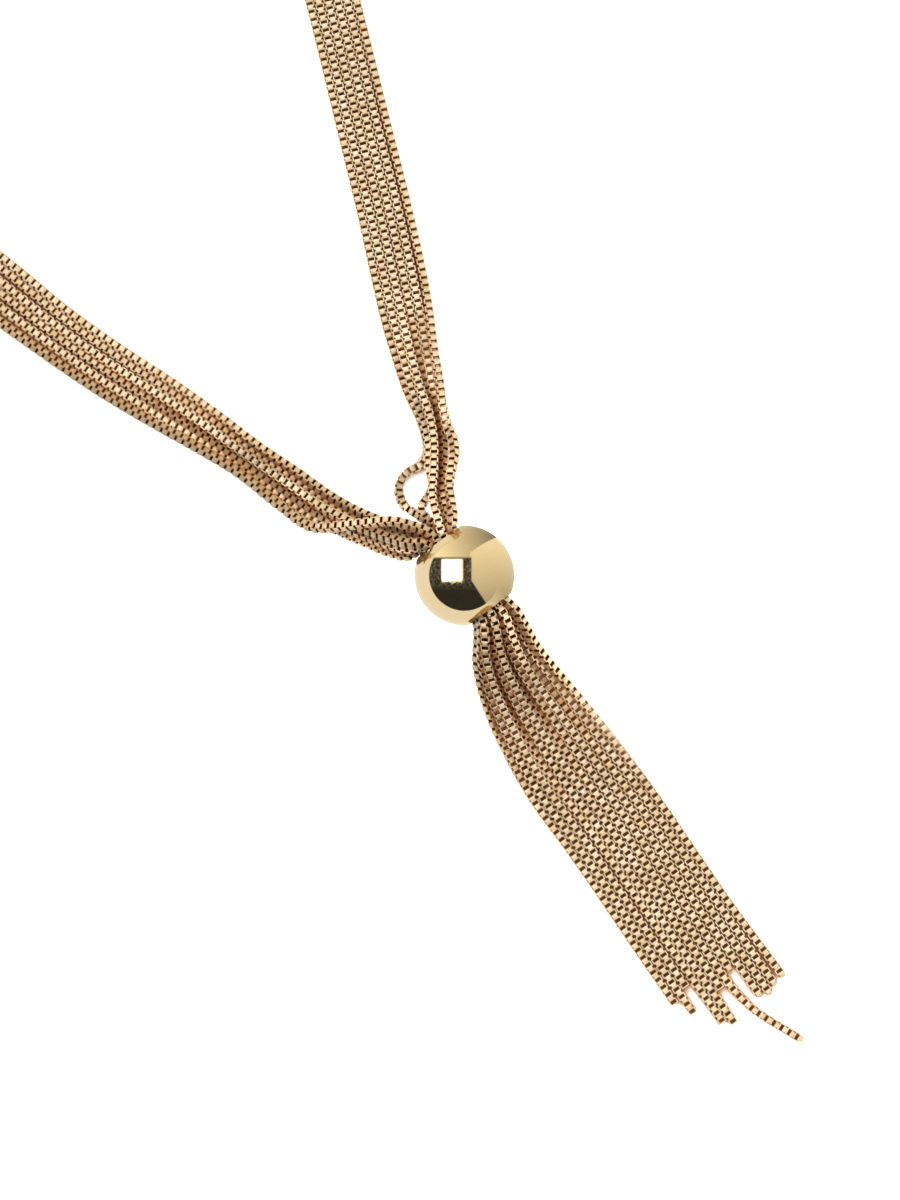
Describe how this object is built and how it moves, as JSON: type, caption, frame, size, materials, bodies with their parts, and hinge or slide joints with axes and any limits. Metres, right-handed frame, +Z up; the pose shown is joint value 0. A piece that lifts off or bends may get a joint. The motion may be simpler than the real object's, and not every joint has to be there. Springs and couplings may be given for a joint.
{
  "type": "lariat necklace",
  "caption": "Gold lariat necklace of fine box chains gathered by a polished slider ball into a neck loop and a tassel of free ends, lying flat.",
  "frame": {"origin": "middle of the outline, on the surface that the necklace lies on", "axes": "+Y from the tassel to the back of the neck loop, +Z up out of the surface"},
  "size_m": [0.1088, 0.3062, 0.016],
  "materials": {
    "chain_gold": "polished",
    "ball_gold": "polished"
  },
  "bodies": {
    "root": {"slider_ball": "ball_gold", "chain_1": "chain_gold", "chain_2": "chain_gold", "chain_3": "chain_gold", "chain_4": "chain_gold", "chain_5": "chain_gold", "chain_6": "chain_gold"}
  },
  "joints": []
}
